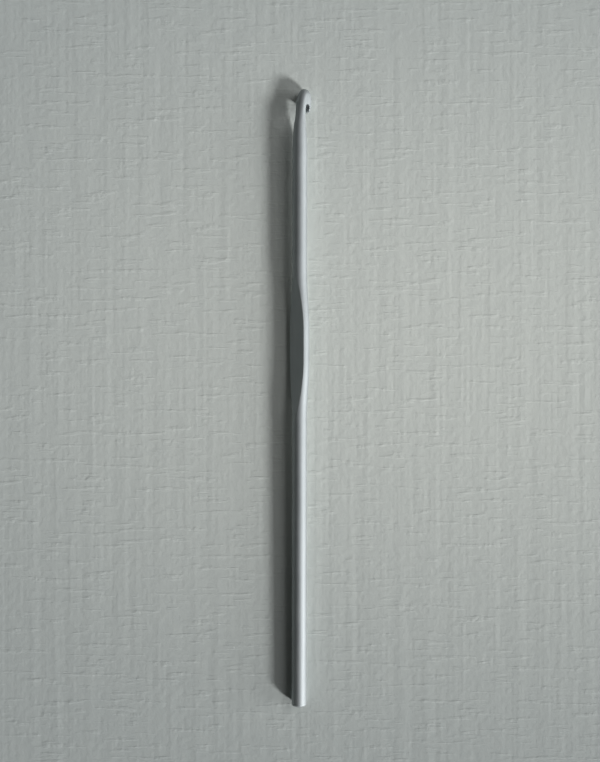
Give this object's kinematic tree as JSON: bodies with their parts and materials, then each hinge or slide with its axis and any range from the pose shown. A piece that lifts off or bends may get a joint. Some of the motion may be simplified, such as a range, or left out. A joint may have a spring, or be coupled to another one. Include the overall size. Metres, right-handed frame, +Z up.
{
  "type": "crochet hook",
  "caption": "Slim aluminium crochet hook with a tapered head, a round lip over a cut throat, and a flat thumb rest pressed into the round shaft.",
  "frame": {"origin": "centre of the bounding box's underside, on the surface that the hook lies on", "axes": "+Y runs along the hook from the butt to the tip, +Z is up from the surface, and +X is the side that the mouth opens to. The hook lies at rest, rolled so that the mouth and one flat of the thumb rest face 45 degrees down, and held up 0.4 degrees at the head."},
  "size_m": [0.005, 0.146, 0.0046],
  "materials": {
    "aluminium": "satin, clear anodised, with fine lengthwise marks"
  },
  "bodies": {
    "root": {"handle": "aluminium", "hook_end": "aluminium"}
  },
  "joints": []
}
